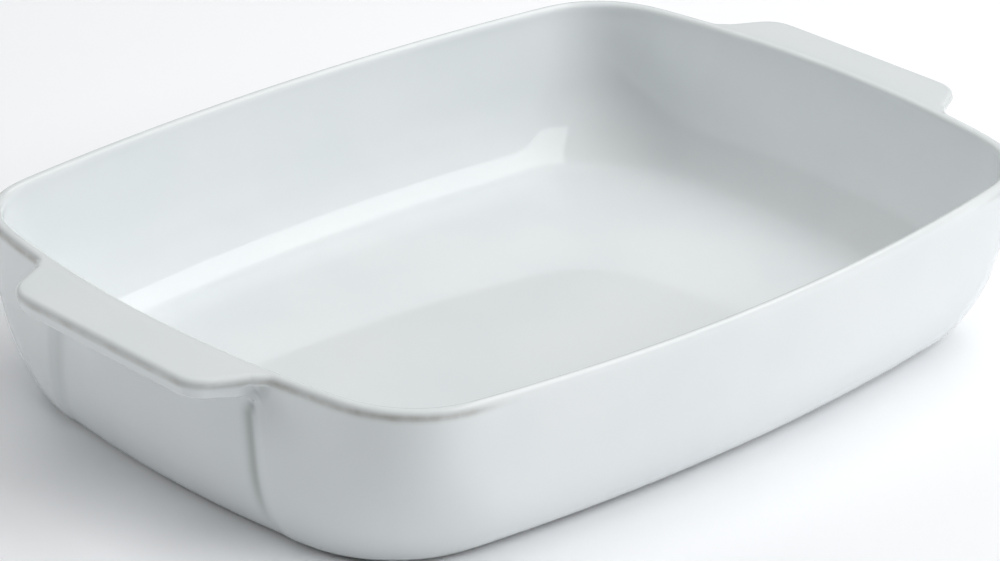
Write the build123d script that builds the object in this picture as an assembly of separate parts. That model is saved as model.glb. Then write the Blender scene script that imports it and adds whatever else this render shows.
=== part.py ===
from build123d import *
import os
from math import hypot, sqrt

os.makedirs("parts", exist_ok=True)

# Driving sizes of the dish, in millimetres
rim_length = 343.0          # outside of the rim, end to end, without the handles
rim_width = 250.0           # outside of the rim, across the long sides
dish_height = 65.5          # table to the top of the rim at its corners
rim_band_height = 6.3       # the rim stands upright over this height
rim_dip = 2.0               # how far the rim sags in the middle of a long side
side_bow_radius = 842.0     # the long sides bow outwards on this radius
end_bow_radius = 420.0      # and the ends on this one
corner_radius = 38.5        # outside of the rim, seen from above

# The outer wall: a slight draft, then an elliptical turn in towards the foot
side_draft = 1.9            # drawn in by this much from rim to table, long sides
end_draft = 3.1             # the same for the ends
turn_height = 31.4          # height of the elliptical turn
turn_sink = 1.0             # the turn would end this far below the table
side_turn_reach = 25.0      # how far the turn would run in under a long side
end_turn_reach = 14.0       # and under an end
# The corners soften downwards and tighten again at the foot
outer_depth_shares = (0.0, 0.12, 0.33, 0.55, 0.72, 0.85, 0.94, 1.0)
outer_corner_shares = (1.0, 1.0, 1.11, 1.37, 1.53, 1.55, 1.38, 1.1)

# The inner wall, the cove below it and the floor
lip_thickness = 4.6
lip_round = 2.1             # both edges of the lip are rounded to this radius
inner_side_draft = 4.5      # drawn in by this much from rim to floor, long sides
inner_end_draft = 6.5
floor_height = 7.0          # table to the cooking surface
cove_height = 27.0          # height of the curve from wall to floor
side_cove_reach = 22.0
end_cove_reach = 16.0
inner_depth_shares = (0.0, 0.25, 0.5, 0.66, 0.8, 0.92, 0.98, 1.0)
inner_corner_shares = (0.9, 0.9, 1.08, 1.25, 1.36, 1.3, 1.15, 1.0)

# Handles: flat tabs, level with the rim and thicker towards the wall
handle_drop = 0.3           # the tab's top lies this far under the crest of the rim
handle_reach = 19.4         # the tab's edge stands this far off the end of the rim
handle_thickness = 4.4      # at the edge
handle_root_thickness = 9.4  # at the end of the rim
handle_draft = 22.0         # degrees that the tab's sides lean in, from its top to its underside
handle_round = 1.8          # edges of the tab
handle_root_width = 110.8   # where the flared root turns into the side of the tab
handle_root_reach = 0.5     # that turn stands this far off the end of the rim
handle_taper = 9.0          # each side of the tab runs in by this much, from that turn to the edge
handle_tip_radius = 14.0    # outer corners of the tab
handle_flare = 1.8          # the root widens by this much on each side
handle_flare_run = 2.0      # over this length
handle_flare_radius = 5.0
handle_bite = 10.0          # the tab's blank starts this far inside the end of the rim

# Finger recess under each handle: it widens and fades out towards the foot
recess_depth = 2.2          # under the handle
recess_foot_depth = 0.6     # at the foot
recess_width = 102.0        # under the handle, at the face of the wall
recess_foot_width = 112.0   # the same at the foot
recess_slope = 4.0          # each side of the recess runs in by this much
recess_round = 8.0          # where those sides meet its back

# Foot ring: bare clay, the only part that touches the table
foot_height = 1.2
foot_width = 7.0
foot_inset = 4.0            # from the edge of the underside
foot_round = 0.5

overrun = 5.0               # cutting shapes pass their faces by this much

rim_band_level = dish_height - rim_band_height


def bowed_wire(half_length, half_width, radius, level):
    """Closed outline of eight arcs: bowed sides and ends, joined by round corners."""
    side_centre = half_width - side_bow_radius
    end_centre = half_length - end_bow_radius
    # A corner arc touches both bows from inside, which places its centre
    from_side = side_bow_radius - radius
    from_end = end_bow_radius - radius
    apart = hypot(end_centre, side_centre)
    along = (from_side**2 - from_end**2 + apart**2) / (2 * apart)
    off = sqrt(from_side**2 - along**2)
    corner_x = (along * end_centre - off * side_centre) / apart
    corner_y = side_centre - (along * side_centre + off * end_centre) / apart

    def touch(centre_x, centre_y, bow):
        share = bow / hypot(corner_x - centre_x, corner_y - centre_y)
        return (centre_x + (corner_x - centre_x) * share, centre_y + (corner_y - centre_y) * share)

    side_x, side_y = touch(0, side_centre, side_bow_radius)
    end_x, end_y = touch(end_centre, 0, end_bow_radius)
    chord_x = (side_x + end_x) / 2 - corner_x
    chord_y = (side_y + end_y) / 2 - corner_y
    bulge = radius / hypot(chord_x, chord_y)
    round_x = corner_x + chord_x * bulge
    round_y = corner_y + chord_y * bulge
    half = [
        ((end_x, -end_y), (half_length, 0), (end_x, end_y)),
        ((end_x, end_y), (round_x, round_y), (side_x, side_y)),
        ((side_x, side_y), (0, half_width), (-side_x, side_y)),
        ((-side_x, side_y), (-round_x, round_y), (-end_x, end_y)),
    ]
    arcs = half + [[(-x, -y) for x, y in arc] for arc in half]
    return Wire([Edge.make_three_point_arc(*[(x, y, level) for x, y in arc]) for arc in arcs])


def wall_inset(below_rim, depth, draft, reach, height):
    """How far a wall has drawn in at a depth: its draft, then a quarter ellipse."""
    into_turn = max(0, below_rim - (depth - height))
    return draft * below_rim / depth + reach * (1 - sqrt(1 - min(1, into_turn / height) ** 2))


def wall_form(half_length, half_width, drafts, reaches, turn, depth, bottom, depth_shares, corner_shares):
    """Loft through bowed outlines, from the underside of the rim band down to the bottom."""
    wires = []
    for depth_share, corner_share in zip(depth_shares, corner_shares):
        below_rim = depth_share * (rim_band_level - bottom)
        side = wall_inset(below_rim, depth, drafts[0], reaches[0], turn)
        end = wall_inset(below_rim, depth, drafts[1], reaches[1], turn)
        wires.append(bowed_wire(half_length - end, half_width - side, corner_radius * corner_share,
                                rim_band_level - below_rim))
    return Solid.make_loft(wires)


def outer_form(relief=0, foot_relief=0):
    """The dish under its rim band, without the hollow; its ends can be set back."""
    return wall_form(rim_length / 2 - relief, rim_width / 2, (side_draft, end_draft + foot_relief - relief),
                     (side_turn_reach, end_turn_reach), turn_height, rim_band_level + turn_sink,
                     foot_height, outer_depth_shares, outer_corner_shares)


def inner_form():
    """The hollow under the rim band, down to the cooking surface."""
    return wall_form(rim_length / 2 - lip_thickness, rim_width / 2 - lip_thickness,
                     (inner_side_draft, inner_end_draft), (side_cove_reach, end_cove_reach), cove_height,
                     rim_band_level - floor_height, floor_height, inner_depth_shares, inner_corner_shares)


def above_rim():
    """Everything over the rim, whose long sides sag on one long arc."""
    sag_radius = ((rim_length / 2) ** 2 + rim_dip**2) / (2 * rim_dip)
    far = rim_length / 2 + overrun
    low = dish_height - rim_dip
    high = low + sag_radius - sqrt(sag_radius**2 - far**2)
    top = dish_height + 2 * overrun
    arc = Edge.make_three_point_arc((-far, 0, high), (0, 0, low), (far, 0, high))
    lines = Polyline((far, 0, high), (far, 0, top), (-far, 0, top), (-far, 0, high))
    face = Face(Wire([arc] + lines.edges()))
    return extrude(face, amount=rim_width / 2 + overrun, dir=(0, 1, 0), both=True)


def make_rim():
    """Upright band round the top, rounded over on both sides into the lip."""
    outside = Face(bowed_wire(rim_length / 2, rim_width / 2, corner_radius * outer_corner_shares[0],
                              rim_band_level))
    hollow = Face(bowed_wire(rim_length / 2 - lip_thickness, rim_width / 2 - lip_thickness,
                             corner_radius * inner_corner_shares[0], rim_band_level))
    band = extrude(outside - hollow, amount=dish_height + overrun - rim_band_level, dir=(0, 0, 1))
    band -= above_rim()
    level = [edge for edge in band.edges() if abs(edge.tangent_at(0).Z) < 0.5]
    lip_edges = [edge for edge in level if edge.center().Z > dish_height - rim_dip - lip_round]
    return fillet(lip_edges, lip_round)


def recess_plan(width, level):
    """Outline of the recess over the +X end wall, with sloping sides."""
    face_x = rim_length / 2
    outer = width / 2 + overrun * recess_slope / recess_depth
    inner_x = face_x - end_turn_reach - end_draft - overrun
    inner = width / 2 - recess_slope
    back_x = face_x - recess_depth
    plan = Polygon((inner_x, -inner), (back_x, -inner), (face_x + overrun, -outer),
                   (face_x + overrun, outer), (back_x, inner), (inner_x, inner), align=None)
    plan = fillet(plan.vertices().filter_by_position(Axis.X, back_x, back_x), recess_round)
    return plan.face().outer_wire().moved(Location((0, 0, level)))


def make_shell():
    """Walls, floor and rim, with the two finger recesses."""
    plans = [recess_plan(recess_foot_width, 0), recess_plan(recess_width, rim_band_level)]
    zone = Solid.make_loft(plans, True)
    recess = zone - outer_form(recess_depth, recess_foot_depth)
    body = outer_form() - recess - recess.rotate(Axis.Z, 180) - inner_form()
    return body + make_rim()


def make_handle(shell):
    """The +X tab, cut to seat on the outer wall and over the outer half of the lip."""
    start = rim_length / 2 - handle_bite
    turn = rim_length / 2 + handle_root_reach
    tip = rim_length / 2 + handle_reach
    root = handle_root_width / 2
    edge = root - handle_taper
    blank = root + (turn - start) * handle_flare / handle_flare_run
    plan = Polygon((start, -blank), (turn, -root), (tip, -edge), (tip, edge), (turn, root), (start, blank),
                   align=None)
    plan = fillet(plan.vertices().group_by(Axis.X)[-1], handle_tip_radius)
    plan = fillet(plan.vertices().filter_by_position(Axis.X, turn, turn), handle_flare_radius)
    # Its underside rises from the wall to the edge
    top = dish_height - handle_drop
    rise = (handle_root_thickness - handle_thickness) / handle_reach
    start_level = top - handle_root_thickness - rise * handle_bite
    side = Polyline((start, 0, start_level), (tip, 0, top - handle_thickness), (tip, 0, top), (start, 0, top),
                    close=True)
    wedge = extrude(Face(Wire(side.edges())), amount=blank + overrun, dir=(0, 1, 0), both=True)
    depth = top - start_level
    slab = extrude(plan.moved(Location((0, 0, top))), amount=depth, dir=(0, 0, -1), taper=handle_draft)
    tab = slab & wedge
    faces = tab.faces().sort_by(Axis.Z)
    tab = fillet(faces[0].edges().sort_by(Axis.X)[1:] + faces[-1].edges().sort_by(Axis.X)[1:], handle_round)
    crest = bowed_wire(rim_length / 2 - lip_thickness / 2, rim_width / 2 - lip_thickness / 2,
                       corner_radius - lip_thickness / 2, rim_band_level)
    return tab - shell - inner_form() - extrude(Face(crest), amount=dish_height, dir=(0, 0, 1))


def make_foot():
    """Ring of bare clay under the dish, rounded where it meets the table."""
    below_rim = rim_band_level - foot_height
    depth = rim_band_level + turn_sink
    side = wall_inset(below_rim, depth, side_draft, side_turn_reach, turn_height) + foot_inset
    end = wall_inset(below_rim, depth, end_draft, end_turn_reach, turn_height) + foot_inset
    radius = corner_radius * outer_corner_shares[-1] - foot_inset
    outline = Face(bowed_wire(rim_length / 2 - end, rim_width / 2 - side, radius, 0))
    middle = Face(bowed_wire(rim_length / 2 - end - foot_width, rim_width / 2 - side - foot_width,
                             radius - foot_width, 0))
    ring = extrude(outline - middle, amount=foot_height, dir=(0, 0, 1))
    return fillet(ring.edges().group_by(Axis.Z)[0], foot_round)


shell = make_shell()
right_handle = make_handle(shell)
pieces = {
    "dish_shell": shell,
    "right_handle": right_handle,
    "left_handle": right_handle.rotate(Axis.Z, 180),
    "foot_ring": make_foot(),
}
for name, piece in pieces.items():
    piece.label = name
    export_step(piece, f"parts/{name}.step")
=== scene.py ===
import bpy, bmesh
from math import sqrt, exp, sin, cos, radians, pi
from mathutils import Vector, Matrix


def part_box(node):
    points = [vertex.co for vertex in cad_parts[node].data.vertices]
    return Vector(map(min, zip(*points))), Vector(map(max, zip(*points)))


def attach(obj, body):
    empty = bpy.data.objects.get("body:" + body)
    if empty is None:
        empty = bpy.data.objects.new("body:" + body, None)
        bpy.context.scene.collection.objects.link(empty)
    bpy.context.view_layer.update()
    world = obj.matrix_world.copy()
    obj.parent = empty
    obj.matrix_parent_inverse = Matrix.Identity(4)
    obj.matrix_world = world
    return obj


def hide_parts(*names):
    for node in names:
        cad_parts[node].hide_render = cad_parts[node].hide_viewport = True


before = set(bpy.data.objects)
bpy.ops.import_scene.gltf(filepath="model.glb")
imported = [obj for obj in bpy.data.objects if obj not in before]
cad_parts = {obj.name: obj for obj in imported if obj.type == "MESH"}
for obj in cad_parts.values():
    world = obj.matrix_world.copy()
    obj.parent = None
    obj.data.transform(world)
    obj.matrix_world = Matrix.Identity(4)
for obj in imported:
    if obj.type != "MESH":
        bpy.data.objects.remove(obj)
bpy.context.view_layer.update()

mm = 0.001
nearly = 1e-6                       # shares, and levels in metres, that differ by less are the same
bpy.context.scene.view_settings.view_transform = "Standard"

# An oblong baking dish in white glazed stoneware. The glaze runs over floor, walls, lip and handles
# as one coat, so the dish and both handles are one skin here. Lengths are in millimetres.
shellHigh = [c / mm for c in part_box("dish_shell")[1]]
tabHigh = [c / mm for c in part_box("right_handle")[1]]
footLow, footHigh = [[c / mm for c in corner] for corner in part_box("foot_ring")]

dish = {
    "halfLength": shellHigh[0],     # outside of the rim, without the handles
    "halfWidth": 125.0,
    "height": shellHigh[2],
    "dip": 2.0,                     # the rim sags this much along each long side
    "sideBow": 842.0,               # radius of the bowed long sides
    "endBow": 420.0,                # and of the ends
    "corner": 38.5,                 # radius of the rim's corners
    "lip": 4.6,                     # thickness of the lip
    "lipRound": 2.1,
    "bandLevel": shellHigh[2] - 6.25,   # down to here the rim stands upright
    "baseLevel": footHigh[2],
    "flatInset": 3.0,               # floor and base are flat from this far inside the walls' last ring
}
outer = {
    "drafts": (1.9, 3.1),           # drawn in from rim to table, long sides and ends
    "reaches": (25.0, 14.0),        # how far the turn runs in under sides and ends
    "turn": 31.4,                   # height of the turn towards the foot
    "turnAngle": 66.5,              # degrees of it that show over the base
    "sink": 1.0,                    # the turn would end this far below the table
    "baseEdge": ((.25, .4, .4), (0, 1.2, .3)),      # rise over the base, inset, and how thin the glaze is
    "cornerShares": ((0, 1), (.12, 1), (.33, 1.11), (.55, 1.37),    # way down, and radius by the rim's
                     (.72, 1.53), (.85, 1.55), (.94, 1.38), (1, 1.1)),
}
inner = {
    "drafts": (4.5, 6.5),
    "reaches": (22.0, 16.0),
    "turn": 27.0,
    "floor": 7.0,                   # thickness of the floor over the table plane
    "cornerShares": ((0, .9), (.25, .9), (.5, 1.08), (.66, 1.25),
                     (.8, 1.36), (.92, 1.3), (.98, 1.15), (1, 1)),
}
tab = {
    "reach": tabHigh[0],            # outer edge of the handle
    "top": tabHigh[2],
    "rootHalf": 54.5,               # half width where the flared root turns into the side
    "rootX": shellHigh[0] + 0.5,
    "tipHalf": 45.5,                # half width at the edge, before the corners are rounded
    "tipRadius": 13.0,
    "flare": (-2.0, 1.8),           # way of the root from that turn towards the rim
    "flareRadius": 5.0,
    "topShares": ((.1, .5), (.3, 1), (.65, 1), (1, 1)),     # of the way out, and of the rise over the rim
    "thickness": (9.8, 7.2),        # at the end of the rim and at the edge
    "leans": (.12, .40),            # edge and sides run in by this share of the depth, towards the underside
    "middleLean": .7,               # share of it half way down, which bulges the edge
    "leanReach": 6.0,               # the lean is full where the handle stands out this far
    "edgeRounds": (2.4, 1.4),       # along the top and the underside
    "roundReach": 4.0,              # the round along the top is full from here on
    "underReach": 4.5,              # and those of the underside where it is this wide
    "underLeast": 0.1,
    "crease": 1.6,                  # softness of the groove where the flared root runs into the wall
    "creaseShade": (.7, 1.2, 1.8),   # painted shade in it: share of the recess's, how far out, how wide
    "seatRound": 2.4,               # glaze fills the corner under the handle to this radius
    "seatDepth": 7.7,               # the strip that carries the handle ends this far under the rim band
}
recess = {                          # finger recess under the handle, at its top and at the table
    "depths": (2.2, 0.6),
    "halfWidths": (50.5, 56.0),
    "slope": (-4.0, 3.0),           # its sides rise between these distances off the half width
    "grooveShade": .85,                    # how much painted shade the groove gets along its side in front
    "backGrooveShade": .3,                 # and this share of it along the side at the back, where more light falls
    "grooveShadeWidths": (2.6, 2.0),       # towards the middle of the recess and away from it
    "grooveShadeEnds": (34, 59),           # the painted shade in the groove fades out between these depths under the rim band
    "grooveShadeTurn": (5, 2, 12),         # and swings outwards by the first, between the other two
}
edgeWearAndShade = {                            # the glaze runs thin on the lip of the ends and corners, and painted shade darkens it there
    "below": 2.3,                   # this far under the crest
    "width": 1.2,
    "tabEdge": (.7, 6),             # and on the handle's edge, with painted shade too: how thin, and how narrow
}


def easeStep(value, low, high):
    t = min(max((value - low) / (high - low), 0), 1)
    return t * t * (3 - 2 * t)


def bell(distance, width):
    return exp(-(distance / width) ** 2)


def spread(low, high, count):
    return [low + (high - low) * i / (count - 1) for i in range(count)]


def between(shares, share):         # smooth curve through (share, value) pairs
    places = [s for s, v in shares]
    values = [v for s, v in shares]
    last = len(shares) - 1
    spot = min(max(i for i in range(last + 1) if places[i] <= share + nearly), last - 1)
    run = places[spot + 1] - places[spot]
    t = (share - places[spot]) / run

    def slopeAt(i):
        low, high = max(i - 1, 0), min(i + 1, last)
        return (values[high] - values[low]) / (places[high] - places[low])

    a, b = values[spot], values[spot + 1]
    rise, fall = slopeAt(spot) * run, slopeAt(spot + 1) * run
    return a + t * (rise + t * (3 * (b - a) - 2 * rise - fall + t * (2 * (a - b) + rise + fall)))


def bowedOutline(halfLength, halfWidth, radius):    # centres of the bows and the corner, first quarter
    side = Vector((0, halfWidth - dish["sideBow"]))
    end = Vector((halfLength - dish["endBow"], 0))
    fromSide, fromEnd = dish["sideBow"] - radius, dish["endBow"] - radius
    apart = (end - side).length
    onWay = (fromSide ** 2 - fromEnd ** 2 + apart ** 2) / (2 * apart)
    offWay = sqrt(fromSide ** 2 - onWay ** 2)
    way = (end - side) / apart
    corner = side + way * onWay + Vector((way.y, -way.x)) * offWay
    return side, end, corner, radius


def isInside(outline, spot):        # the corner's arc lies between the two lines from the bows' centres
    side, end, corner, radius = outline
    away = spot - corner
    toEnd, toSide = corner - end, corner - side
    if toEnd.x * away.y - toEnd.y * away.x < 0:
        return (spot - end).length < dish["endBow"]
    if away.x * toSide.y - away.y * toSide.x < 0:
        return (spot - side).length < dish["sideBow"]
    return away.length < radius


def outlineAt(outline, column):     # where a column's line leaves the outline
    start, way = column
    near, far = 0.0, dish["halfLength"]
    halvings = 28
    for halving in range(halvings):
        middle = (near + far) / 2
        if isInside(outline, start + way * middle):
            near = middle
        else:
            far = middle
    return start + way * near


def crestAt(x):                     # height of the rim over a place along the dish
    bend = (dish["halfLength"] ** 2 + dish["dip"] ** 2) / (2 * dish["dip"])
    return dish["height"] - dish["dip"] + bend - sqrt(bend ** 2 - x ** 2)


def wallInsets(wall, below, depth):     # of long sides and ends: straight draft, then a quarter ellipse
    into = max(0, below - (depth - wall["turn"]))
    turned = 1 - sqrt(1 - min(1, into / wall["turn"]) ** 2)
    return [draft * below / depth + reach * turned for draft, reach in zip(wall["drafts"], wall["reaches"])]


def outerOutline(below, extra=0):
    depth = dish["bandLevel"] + outer["sink"]
    side, end = wallInsets(outer, below, depth)
    share = between(outer["cornerShares"], below / (dish["bandLevel"] - dish["baseLevel"]))
    halfLength, halfWidth = dish["halfLength"] - end - extra, dish["halfWidth"] - side - extra
    return bowedOutline(halfLength, halfWidth, dish["corner"] * share)


def innerOutline(below, extra=0):
    depth = dish["bandLevel"] - inner["floor"]
    side, end = wallInsets(inner, below, depth)
    share = between(inner["cornerShares"], below / depth)
    inset = dish["lip"] + extra
    halfLength, halfWidth = dish["halfLength"] - end - inset, dish["halfWidth"] - side - inset
    return bowedOutline(halfLength, halfWidth, dish["corner"] * share)


# Columns of the skin over one quarter, from the middle of an end round to the middle of a long side.
# Each is a line seen from above: where it starts and which way it runs outwards.
columnCounts = {"tip": 6, "tipCorner": 7, "tabSide": 9, "flare": 9, "corner": 15, "side": 13}
columnPlaces = {"tip": (0, 33), "tipCorner": (35, 44.4), "tabSide": (45.4, 52.6), "flare": (53.4, 60)}
pivot = Vector((106, 63))           # the columns of the corner fan out from here


def makeColumns():
    columns = []
    for zone, (low, high) in columnPlaces.items():
        columns += [(Vector((0, y)), Vector((1, 0))) for y in spread(low, high, columnCounts[zone])]
    for angle in spread(0, pi / 2, columnCounts["corner"])[1:-1]:
        columns.append((pivot, Vector((cos(angle), sin(angle)))))
    for x in spread(pivot.x, 0, columnCounts["side"]):
        columns.append((Vector((x, 0)), Vector((0, 1))))
    return columns


columns = makeColumns()
tabColumns = sum(columnCounts[zone] for zone in columnPlaces)
flareColumn = tabColumns - columnCounts["flare"]
leanColumns = (columnCounts["tip"], flareColumn - 7)    # from the edge's lean to the side's
closeColumns = (flareColumn - 3, flareColumn + 1)       # the underside closes
lipColumns = (tabColumns - 5, tabColumns - 1)           # the flare runs out into the lip
unshadedLipColumns = (tabColumns + 7, tabColumns + 12)         # past these the lip gets neither thin glaze nor painted shade

# Once round the dish: a column, and the signs of x and y there
lastColumn = len(columns) - 1
quarters = [(i, 1, 1) for i in range(lastColumn)] + [(i, -1, 1) for i in range(lastColumn, 0, -1)]
quarters += [(i, -1, -1) for i in range(lastColumn)] + [(i, 1, -1) for i in range(lastColumn, 0, -1)]


def along(outline):                 # an outline's point on every column of the quarter
    return [outlineAt(outline, column) for column in columns]


def tabOutline(rim):                # the handle's edge seen from above, and its outward normals
    root = Vector((tab["rootX"], tab["rootHalf"]))
    tip = Vector((tab["reach"], tab["tipHalf"]))
    sideWay = (root - tip).normalized()
    flareWay = Vector(tab["flare"]).normalized()
    tipTurn = Vector((0, 1)).angle(sideWay)
    tipRun = tab["tipRadius"] * (1 - cos(tipTurn)) / sin(tipTurn)
    centre = Vector((tab["reach"] - tab["tipRadius"], tab["tipHalf"] - tipRun))
    edge = [(Vector((tab["reach"], columns[i][0].y)), Vector((1, 0))) for i in range(columnCounts["tip"])]
    for angle in spread(0, tipTurn, columnCounts["tipCorner"] + 1)[1:]:
        normal = Vector((cos(angle), sin(angle)))
        edge.append((centre + normal * tab["tipRadius"], normal))
    sideStart, sideNormal = edge[-1]
    flareTurn = sideWay.angle(flareWay)
    flareRun = tab["flareRadius"] * (1 - cos(flareTurn)) / sin(flareTurn)
    flareStart = root - sideWay * flareRun
    for share in spread(0, 1, columnCounts["tabSide"] + 1)[1:]:
        edge.append((sideStart.lerp(flareStart, share), sideNormal))
    hub = flareStart + sideNormal * tab["flareRadius"]
    bends = columnCounts["flare"] // 2
    for i in range(1, bends + 1):
        turned = Matrix.Rotation(-flareTurn * i / bends, 2) @ sideNormal
        edge.append((hub - turned * tab["flareRadius"], turned))
    bendEnd, flareNormal = edge[-1]
    meet = rim[tabColumns - 1]
    for share in spread(0, 1, columnCounts["flare"] - bends + 1)[1:]:
        edge.append((bendEnd.lerp(meet, share), flareNormal))
    return edge


def recessHalf(below):              # half width of the finger recess, this far under the rim band
    top, foot = recess["halfWidths"]
    return top + (foot - top) * below / dish["bandLevel"]


def recessAt(y, below):             # and its depth at a distance from the middle
    top, foot = recess["depths"]
    depth = top + (foot - top) * below / (dish["bandLevel"] + outer["sink"])
    low, high = recess["slope"]
    return depth * (1 - easeStep(y, recessHalf(below) + low, recessHalf(below) + high))


def grooveShadeAt(y, below):               # how much painted shade the groove gets at a distance from the middle, 0 to 1
    swing, turnStart, turnEnd = recess["grooveShadeTurn"]
    groove = recessHalf(below) + recess["slope"][0]
    groove += swing * (1 - easeStep(below, turnStart, turnEnd))
    width = recess["grooveShadeWidths"][0 if y < groove else 1]
    return recess["grooveShade"] * (1 - easeStep(below, *recess["grooveShadeEnds"])) * bell(y - groove, width)


def wallAt(i, level):               # outer face of the wall on a column, with the recess
    below = max(0, dish["bandLevel"] - level)
    spot = outlineAt(outerOutline(below), columns[i])
    return spot - Vector((recessAt(spot.y, below), 0)) if i < tabColumns else spot


def underAt(x):                     # underside of the handle, which rises from the wall to the edge
    root, edge = tab["thickness"]
    share = (x - dish["halfLength"]) / (tab["reach"] - dish["halfLength"])
    return tab["top"] - root + (root - edge) * share


# The rim on every column: its inner and outer face, the way across, the crest and the handle's edge
insideRim, outsideRim = along(innerOutline(0)), along(outerOutline(0))
rimWays = [(far - near).normalized() for near, far in zip(insideRim, outsideRim)]
crests = [crestAt((near.x + far.x) / 2) for near, far in zip(insideRim, outsideRim)]
tabEdge = tabOutline(outsideRim)
tabReaches = [(spot - rim).length for (spot, normal), rim in zip(tabEdge, outsideRim)]

# How many points each stretch of a column has, its ends included
ringCounts = {"cove": 11, "innerWall": 6, "lipInside": 5, "lipOutside": 9, "rimBand": 14, "tabRound": 6,
              "lowRound": 4, "underside": 4, "seat": 4, "outerWall": 6, "turn": 10, "footRound": 4}


# A point has x, y, its level and its mark, which is above 0 where the glaze runs thin on an edge and painted
# shade darkens it, and below 0 where painted shade darkens a groove. A ring is one point per column, and a
# strip is the points down one column.
def point(spot, level, thinAndShade=0):
    return Vector((spot.x, spot.y, level, thinAndShade))


def levelRing(outline, level, thinAndShade=0, recessed=False):
    ring = [point(spot, level, thinAndShade) for spot in along(outline)]
    below = dish["bandLevel"] - level
    for spot in ring[:tabColumns] if recessed else []:
        spot.x -= recessAt(spot.y, below)
        # painted shade along the recess's groove
        spot.w -= grooveShadeAt(spot.y, below)
    return ring


def innerRings():
    depth = dish["bandLevel"] - inner["floor"]
    straight = depth - inner["turn"]
    rings = [levelRing(innerOutline(depth, dish["flatInset"]), inner["floor"])]
    for angle in spread(pi / 2, 0, ringCounts["cove"]):
        below = straight + inner["turn"] * sin(angle)
        rings.append(levelRing(innerOutline(below), dish["bandLevel"] - below))
    for below in spread(straight, 0, ringCounts["innerWall"])[1:]:
        rings.append(levelRing(innerOutline(below), dish["bandLevel"] - below))
    return rings


def lipInside(i):                   # inner face and inner round of the lip
    bend = dish["lipRound"]
    strip = [point(insideRim[i], (dish["bandLevel"] + crests[i] - bend) / 2)]
    for angle in spread(0, pi / 2, ringCounts["lipInside"]):
        turned = insideRim[i] + rimWays[i] * bend * (1 - cos(angle))
        strip.append(point(turned, crests[i] - bend * (1 - sin(angle))))
    strip.append(point(outsideRim[i] - rimWays[i] * bend, crests[i]))
    return strip


def lipOutside(i):                  # outer round of the lip and the wall under it, without a handle
    bend, crest = dish["lipRound"], crests[i]
    start, end = outsideRim[i] - rimWays[i] * bend, dish["bandLevel"] - tab["seatDepth"]
    # the lip of the ends and corners gets thin glaze with painted shade; the lit long sides get none
    wornAndShaded = 1 - easeStep(i, *unshadedLipColumns)
    strip = []
    for angle in spread(0, pi / 2, ringCounts["lipOutside"])[1:]:
        down = bend * (1 - cos(angle))
        thinAndShade = wornAndShaded * bell(down - edgeWearAndShade["below"], edgeWearAndShade["width"])
        strip.append(point(start + rimWays[i] * bend * sin(angle), crest - down, thinAndShade))
    for share in spread(0, 1, ringCounts["rimBand"])[1:]:
        level = (crest - bend) * (1 - share) + end * share
        spot = wallAt(i, level) if level < dish["bandLevel"] else outsideRim[i]
        strip.append(point(spot, level, wornAndShaded * bell(crest - level - edgeWearAndShade["below"], edgeWearAndShade["width"])))
    return strip


def edgeSize(i):                    # 1 where the handle stands out far enough for the full round along its top
    return min(1, tabReaches[i] / tab["roundReach"])


def topRound(i):
    return dish["lipRound"] + (tab["edgeRounds"][0] - dish["lipRound"]) * edgeSize(i)


def tabTop(i):                      # from the lip out over the handle and round the edge of its top
    (spot, normal), bend = tabEdge[i], topRound(i)
    start, shoulder = outsideRim[i] - rimWays[i] * dish["lipRound"], spot - normal * bend
    strip = []
    for share, rise in tab["topShares"]:
        strip.append(point(start.lerp(shoulder, share), crests[i] + (tab["top"] - crests[i]) * rise))
    # thin glaze with painted shade round the handle's top edge
    thinAndShade, power = edgeWearAndShade["tabEdge"]
    for angle in spread(0, pi / 2, ringCounts["tabRound"])[1:]:
        turned = shoulder + normal * bend * sin(angle)
        strip.append(point(turned, tab["top"] - bend * (1 - cos(angle)), thinAndShade * sin(angle) ** power))
    return strip


def tabUnderside(i):                # down the leaning edge and back along the underside to the wall
    (spot, normal), bend = tabEdge[i], topRound(i)
    wall = wallAt(i, underAt(outsideRim[i].x))
    edgeLean, sideLean = tab["leans"]
    share = edgeLean + (sideLean - edgeLean) * easeStep(i, *leanColumns)
    lean = normal * share * (tab["top"] - underAt(spot.x)) * min(1, tabReaches[i] / tab["leanReach"])
    low = spot - lean
    low.x = max(low.x, wall.x + tab["underLeast"])
    room = min(1, (low.x - wall.x) / tab["underReach"])
    lowBend, seat = tab["edgeRounds"][1] * room, tab["seatRound"] * room
    strip = [point(spot - lean * tab["middleLean"], (tab["top"] - bend + underAt(low.x) + lowBend) / 2)]
    shoulder = low - normal * lowBend
    for angle in spread(pi / 2, 0, ringCounts["lowRound"]):
        turned = shoulder + normal * lowBend * sin(angle)
        strip.append(point(turned, underAt(turned.x) + lowBend * (1 - cos(angle))))
    seated = wall + rimWays[i] * seat
    for share in spread(0, 1, ringCounts["underside"])[1:]:
        turned = shoulder.lerp(seated, share)
        strip.append(point(turned, underAt(turned.x)))
    for angle in spread(0, pi / 2, ringCounts["seat"])[1:]:
        turned = seated - rimWays[i] * seat * sin(angle)
        strip.append(point(turned, underAt(seated.x) - seat * (1 - cos(angle))))
    end = dish["bandLevel"] - tab["seatDepth"]
    # painted shade in the groove where the underside's strip meets the recessed wall
    strip.append(point(wallAt(i, end), end, -grooveShadeAt(wall.y, tab["seatDepth"])))
    return strip


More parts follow.
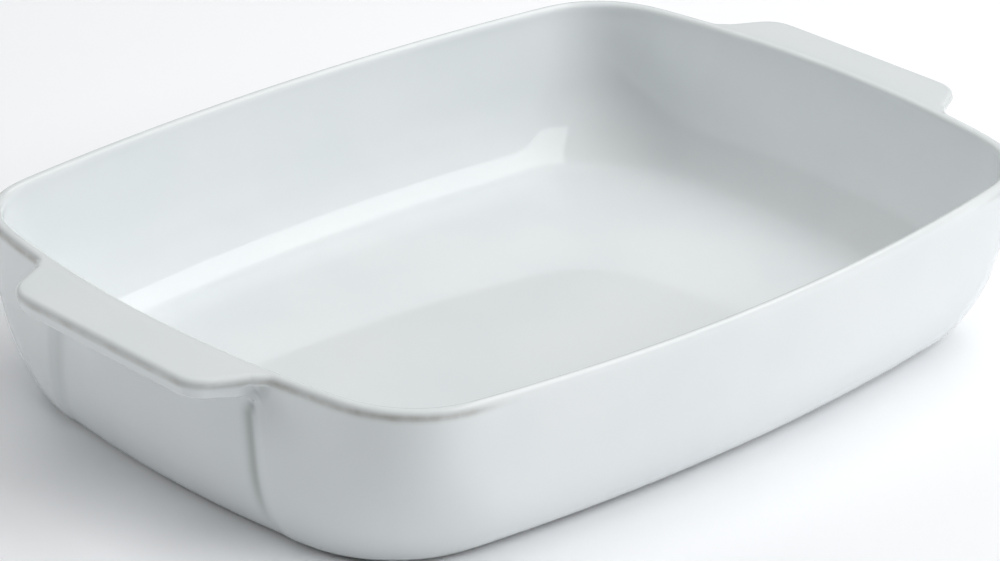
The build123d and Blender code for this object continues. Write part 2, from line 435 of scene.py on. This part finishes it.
def flareSide(i, wallStrip):        # on the flare the leaning side runs straight into the wall
    (spot, normal), crease = tabEdge[i], tab["crease"] * edgeSize(i)
    share, out, width = tab["creaseShade"]
    strip = []
    for wall in wallStrip:
        lean = tab["leans"][1] * max(0, tab["top"] - topRound(i) - wall.z) / normal.x
        apart = spot.x - lean - wall.x
        x = wall.x + (apart + sqrt(apart ** 2 + crease ** 2)) / 2
        # painted shade in the crease where the flare runs into the wall, and in the recess's groove
        grooveShade = share * recess["grooveShade"] * bell(apart - out, width)
        groove = grooveShadeAt(wall.y, dish["bandLevel"] - wall.z)
        strip.append(Vector((x, wall.y, wall.z, -max(grooveShade, groove))))
    return strip


def withTab(i, plain):              # puts the handle before the plain lip and lets it run out beside the flare
    top = tabTop(i)
    raised, merged = top + tabUnderside(i), top + flareSide(i, plain[len(top):])
    closed, ahead = easeStep(i, *closeColumns), 1 - easeStep(i, *lipColumns)
    return [a.lerp(b.lerp(c, closed), ahead) for a, b, c in zip(plain, raised, merged)]


def capRings():                     # lip and handle, from the inner face over the top and down to the wall
    strips = []
    for i in range(len(columns)):
        plain = lipOutside(i)
        strips.append(lipInside(i) + (withTab(i, plain) if i < tabColumns else plain))
    return list(zip(*strips))


def outerRings():
    bottom = dish["bandLevel"] - dish["baseLevel"]
    straight = dish["bandLevel"] + outer["sink"] - outer["turn"]
    rings = []
    for below in spread(tab["seatDepth"], straight, ringCounts["outerWall"])[1:]:
        rings.append(levelRing(outerOutline(below), dish["bandLevel"] - below, 0, True))
    for angle in spread(0, radians(outer["turnAngle"]), ringCounts["turn"])[1:]:
        below = straight + outer["turn"] * sin(angle)
        rings.append(levelRing(outerOutline(below), dish["bandLevel"] - below, 0, True))
    for rise, inset, thinAndShade in outer["baseEdge"]:
        rings.append(levelRing(outerOutline(bottom - rise, inset), dish["baseLevel"] + rise, thinAndShade, True))
    rings.append(levelRing(outerOutline(bottom, dish["flatInset"]), dish["baseLevel"]))
    return rings


def raiseRings(name, rings):        # a circle that is extruded ring by ring, each new ring set to its place
    bpy.ops.object.select_all(action="DESELECT")
    radius = dish["halfLength"] * mm
    bpy.ops.mesh.primitive_circle_add(vertices=len(quarters), radius=radius, fill_type="NOTHING")
    piece = bpy.context.object
    piece.name = piece.data.name = name
    bpy.ops.object.mode_set(mode="EDIT")
    bpy.ops.mesh.select_all(action="SELECT")
    mesh = bmesh.from_edit_mesh(piece.data)
    mesh.verts.layers.float.new("glazeBreakAndShade")
    order = mesh.verts.layers.int.new("order")
    for vert in mesh.verts:
        vert[order] = vert.index
    bmesh.update_edit_mesh(piece.data)
    for number, ring in enumerate(rings):
        if number:
            bpy.ops.mesh.extrude_region_move()
        mesh = bmesh.from_edit_mesh(piece.data)
        order, thinAndShadeLayer = mesh.verts.layers.int["order"], mesh.verts.layers.float["glazeBreakAndShade"]
        for vert in mesh.verts:
            if vert.select:
                column, signX, signY = quarters[vert[order]]
                x, y, level, thinAndShade = ring[column]
                vert.co = (x * signX * mm, y * signY * mm, level * mm)
                # the groove along the side at the back gets less painted shade, since light falls on it there
                vert[thinAndShadeLayer] = thinAndShade * (recess["backGrooveShade"] if thinAndShade < 0 < signY else 1)
        bmesh.update_edit_mesh(piece.data)
    bpy.ops.object.mode_set(mode="OBJECT")
    return piece


def fillRing(piece, level, cornerColumn):    # closes the open ring at a level with a grid of faces
    bpy.ops.object.mode_set(mode="EDIT")
    bpy.ops.mesh.select_mode(type="EDGE")
    bpy.ops.mesh.select_all(action="DESELECT")
    mesh = bmesh.from_edit_mesh(piece.data)
    order = mesh.verts.layers.int["order"]
    mesh.select_history.clear()
    for edge in mesh.edges:
        if edge.is_boundary and abs(edge.verts[0].co.z - level * mm) < nearly:
            edge.select = True
    for vert in mesh.verts:
        if vert.select and vert[order] == cornerColumn:
            mesh.select_history.add(vert)
    bmesh.update_edit_mesh(piece.data)
    bpy.ops.mesh.fill_grid(span=2 * cornerColumn, offset=0)
    bpy.ops.object.mode_set(mode="OBJECT")


def faceOutwards():                 # the faces of the piece that was made last
    bpy.ops.object.mode_set(mode="EDIT")
    bpy.ops.mesh.select_all(action="SELECT")
    bpy.ops.mesh.normals_make_consistent(inside=False)
    bpy.ops.object.mode_set(mode="OBJECT")


def buildSkin():
    rings = innerRings() + capRings() + outerRings()
    skin = raiseRings("glazed_dish", rings)
    cornerColumn = tabColumns + columnCounts["corner"] // 2
    fillRing(skin, inner["floor"], cornerColumn)
    fillRing(skin, dish["baseLevel"], cornerColumn)
    faceOutwards()
    rounding = skin.modifiers.new("rounding", "SUBSURF")
    rounding.levels = rounding.render_levels = 1
    bpy.ops.object.modifier_apply(modifier=rounding.name)
    bpy.ops.object.shade_smooth()
    print("glazed skin:", len(skin.data.polygons), "faces")
    return skin


skin = buildSkin()
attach(skin, "root")
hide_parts("dish_shell", "left_handle", "right_handle")

foot = {
    "halfLength": footHigh[0],
    "halfWidth": 103.2,
    "corner": 38.35,
    "width": 7.0,
    "edgeRound": 0.5,
    "smoothAngle": 40.0,
}


def buildFoot():                    # ring of bare clay that the dish stands on
    low, high, bend = footLow[2], dish["baseLevel"], foot["edgeRound"]
    profile = [(0, high), (0, (low + high) / 2)]
    for angle in spread(0, pi / 2, ringCounts["footRound"]):
        profile.append((bend * (1 - cos(angle)), low + bend * (1 - sin(angle))))
    profile += [(foot["width"] - inset, level) for inset, level in reversed(profile)]
    rings = []
    for inset, level in profile:
        halfLength, halfWidth = foot["halfLength"] - inset, foot["halfWidth"] - inset
        rings.append(levelRing(bowedOutline(halfLength, halfWidth, foot["corner"] - inset), level))
    ring = raiseRings("foot_ring_clay", rings)
    bpy.ops.object.mode_set(mode="EDIT")
    bpy.ops.mesh.select_mode(type="EDGE")
    bpy.ops.mesh.select_all(action="DESELECT")
    mesh = bmesh.from_edit_mesh(ring.data)
    for edge in mesh.edges:
        edge.select = edge.is_boundary
    bmesh.update_edit_mesh(ring.data)
    bpy.ops.mesh.bridge_edge_loops()
    bpy.ops.object.mode_set(mode="OBJECT")
    faceOutwards()
    bpy.ops.object.shade_smooth_by_angle(angle=radians(foot["smoothAngle"]))
    print("foot ring:", len(ring.data.polygons), "faces")
    return ring


footRing = buildFoot()
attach(footRing, "root")
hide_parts("foot_ring")


def linearColour(code):             # sRGB hex to linear
    parts = [int(code[i:i + 2], 16) / 255 for i in (1, 3, 5)]
    return [c / 12.92 if c <= .04045 else ((c + .055) / 1.055) ** 2.4 for c in parts] + [1]


def addNode(tree, kind, settings=None, links=None):     # one node with its settings and what feeds it
    node = tree.nodes.new(kind)
    for name, value in (settings or {}).items():
        if isinstance(name, int) or name in node.inputs:    # a number where sockets share a name
            node.inputs[name].default_value = value
        else:
            setattr(node, name, value)
    for name, source in (links or {}).items():
        tree.links.new(source, node.inputs[name])
    return node


def newMaterial(name):              # empty, with its tree and the coordinates that its patterns follow
    material = bpy.data.materials.new(name)
    material.use_nodes = True
    material.node_tree.nodes.clear()
    return material, material.node_tree, addNode(material.node_tree, "ShaderNodeTexCoord").outputs["Object"]


def noise(tree, place, width, detail):      # patches of about this many millimetres
    settings = {"Scale": 1 / (width * mm), "Detail": detail}
    return addNode(tree, "ShaderNodeTexNoise", settings, {"Vector": place}).outputs["Fac"]


def bump(tree, height, depth, strength, under=None):    # depth in millimetres, on top of another bump
    settings = {"Distance": depth * mm, "Strength": strength}
    links = {"Height": height, "Normal": under} if under else {"Height": height}
    return addNode(tree, "ShaderNodeBump", settings, links).outputs["Normal"]


def ramp(tree, source, stops):
    node = addNode(tree, "ShaderNodeValToRGB", links={"Fac": source})
    node.color_ramp.interpolation = "EASE"
    for element, (place, code) in zip(node.color_ramp.elements, stops):
        element.position = place
        element.color = linearColour(code)
    return node.outputs["Color"]


def tint(tree, share, colour, code):        # turns a colour into another where the share is 1
    settings = {"data_type": "RGBA", 7: linearColour(code)}
    return addNode(tree, "ShaderNodeMix", settings, {"Factor": share, 6: colour}).outputs[2]


def remap(tree, value, source, target):
    settings = {"From Min": source[0], "From Max": source[1], "To Min": target[0], "To Max": target[1]}
    return addNode(tree, "ShaderNodeMapRange", settings, {"Value": value}).outputs["Result"]


def finish(tree, settings, links):          # the surface and the material's output
    shader = addNode(tree, "ShaderNodeBsdfPrincipled", settings, links)
    addNode(tree, "ShaderNodeOutputMaterial", links={"Surface": shader.outputs["BSDF"]})


# Tin-white stoneware glaze, dipped and fired: glassy, a touch cool, with a slow ripple in its surface.
# It greys where it runs thin over an edge; painted shade darkens the lip of the ends and corners, the handle's
# edge and the grooves.
glaze = {
    "white": "#E8ECED",
    "pooled": "#E5EAEB",            # where it lies a little thicker
    "blotch": 60.0,                 # width of the thicker patches
    "blotchStops": (.35, .65),
    "brokenAndShaded": "#A6A6A0",            # thin over an edge, with painted shade
    "grooveShadeColour": "#B0B6B6",             # painted shade in a groove
    "run": 9.0,                     # along an edge it breaks in runs
    "runRange": (.3, .7),           # of the noise, which gives these shares of the break:
    "runShares": (.45, 1.0),
    "ripple": 16.0,
    "rippleDepth": 0.02,
    "peel": 2.5,                    # fine orange peel
    "peelDepth": 0.002,
    "surface": {"Roughness": .06, "IOR": 1.5},
}


def glazeMaterial():
    material, tree, place = newMaterial("fired_white_glaze")
    blotches = noise(tree, place, glaze["blotch"], 2)
    body = ramp(tree, blotches, zip(glaze["blotchStops"], (glaze["pooled"], glaze["white"])))
    thinAndShade = addNode(tree, "ShaderNodeAttribute", {"attribute_name": "glazeBreakAndShade"}).outputs["Fac"]
    # painted shade darkens the grooves, where the mark is below 0
    grooveShade = remap(tree, thinAndShade, (0, -1), (0, 1))
    runs = remap(tree, noise(tree, place, glaze["run"], 3), glaze["runRange"], glaze["runShares"])
    # thin glaze with painted shade over the edges, where the mark is above 0
    brokenAndShaded = addNode(tree, "ShaderNodeMath", {"operation": "MULTIPLY", "use_clamp": True}, {0: thinAndShade, 1: runs})
    grooveShaded = tint(tree, grooveShade, body, glaze["grooveShadeColour"])
    colour = tint(tree, brokenAndShaded.outputs[0], grooveShaded, glaze["brokenAndShaded"])
    waves = bump(tree, noise(tree, place, glaze["ripple"], 1), glaze["rippleDepth"], 1)
    bumps = bump(tree, noise(tree, place, glaze["peel"], 2), glaze["peelDepth"], 1, waves)
    finish(tree, glaze["surface"], {"Base Color": colour, "Normal": bumps})
    return material


# Bare fired stoneware, sponged clean of glaze: dry, buff and a little gritty.
clay = {
    "body": "#BDAE98",
    "grit": "#8E8070",
    "gritStops": (.3, .5),
    "grain": 0.9,                   # real grit is about 0.3 mm, drawn coarser so that it shows
    "toothDepth": 0.06,
    "surface": {"Roughness": .85, "IOR": 1.45},
}


def clayMaterial():
    material, tree, place = newMaterial("bare_fired_stoneware")
    grit = noise(tree, place, clay["grain"], 4)
    colour = ramp(tree, grit, zip(clay["gritStops"], (clay["grit"], clay["body"])))
    finish(tree, clay["surface"], {"Base Color": colour, "Normal": bump(tree, grit, clay["toothDepth"], .8)})
    return material


skin.data.materials.append(glazeMaterial())
footRing.data.materials.append(clayMaterial())
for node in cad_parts.values():    # what the skin and the ring stand for has the same finishes
    node.data.materials.clear()
    node.data.materials.append((footRing if node.name.startswith("foot") else skin).data.materials[0])
print("materials:", len(bpy.data.materials))

# Matt white paper, with just enough tooth to take a soft shadow
paper = {
    "size": 6.0,                    # metres
    "surface": {"Base Color": linearColour("#FAFBFD"), "Roughness": .9, "Specular IOR Level": .1},
    "fibre": 2.5,
    "fibreDepth": 0.02,
}


def buildFloor():
    bpy.ops.object.select_all(action="DESELECT")
    bpy.ops.mesh.primitive_plane_add(size=paper["size"], location=(0, 0, 0))
    floor = bpy.context.object
    floor.name = "studio_floor"
    material, tree, place = newMaterial("matt_paper")
    tooth = bump(tree, noise(tree, place, paper["fibre"], 2), paper["fibreDepth"], .5)
    finish(tree, paper["surface"], {"Normal": tooth})
    floor.data.materials.append(material)


# Softboxes round the dish: which way it stands seen from above, how high in degrees, its width and height
# in metres, and its watts. The side of the camera stays dark, as on the photo's near corner.
softboxes = {
    "back_left_box": (130, 27, 2.5, 2.3, 51.5),
    "back_right_box": (60, 14, 2.5, 1.6, 22.1),
    "low_right_box": (-42, 20, 2.5, 1.8, 20.3),
    "front_box": (-60, 40, 2.5, 2.2, 52.4),
    "front_left_box": (-80, 40, 2.5, 2.2, 32.6),
    "top_box": (180, 84, 2.5, 2.5, 38.2),
}
softboxDistance = 4.0
ceilingBox = {                      # long box over the far end, which the cove mirrors as a bright band
    "place": (.949, -.026, 1.294),
    "turn": 147.0,
    "size": (.666, 2.45),
    "watts": 11.2,
}
surroundStrength = 0.02


def addSoftbox(name, place, width, height, power):  # places in metres
    bpy.ops.object.light_add(type="AREA", location=place)
    box = bpy.context.object
    box.name = name
    box.data.shape = "RECTANGLE"
    box.data.size, box.data.size_y = width, height
    box.data.energy = power
    box.visible_camera = False
    return box


buildFloor()
for name, (turn, rise, width, height, power) in softboxes.items():
    turn, rise = radians(turn), radians(rise)
    way = Vector((cos(turn) * cos(rise), sin(turn) * cos(rise), sin(rise)))
    box = addSoftbox(name, way * softboxDistance, width, height, power)
    box.rotation_euler = way.to_track_quat("Z", "Y").to_euler()
    box.visible_glossy = False      # diffused so far that the glaze shows no edge of it
ceiling = addSoftbox("ceiling_box", ceilingBox["place"], *ceilingBox["size"], ceilingBox["watts"])
ceiling.rotation_euler = (0, 0, radians(ceilingBox["turn"]))
world = bpy.data.worlds.new("soft_surround")
bpy.context.scene.world = world
world.use_nodes = True
surround = world.node_tree.nodes["Background"]
surround.inputs["Color"].default_value = linearColour("#FFFFFF")
surround.inputs["Strength"].default_value = surroundStrength

camera = {
    "place": (-.91290, -.89104, .62747),
    "aim": (-.05777, -.05113, .06244),
    "lens": 142.142,
    "sensor": 36.0,                 # its width, in millimetres like the lens
    "roll": 2.196,                  # degrees that its right side is tipped up
    "reach": 20.0,                  # metres
}
bpy.ops.object.camera_add(location=camera["place"])
view = bpy.context.object
view.name = "photo_camera"
look = (Vector(camera["aim"]) - Vector(camera["place"])).to_track_quat("-Z", "Y").to_matrix()
view.rotation_euler = (look @ Matrix.Rotation(radians(camera["roll"]), 3, "Z")).to_euler()
view.data.lens = camera["lens"]
view.data.sensor_width = camera["sensor"]
view.data.clip_end = camera["reach"]
bpy.context.scene.camera = view
print("stage, lights and camera set")
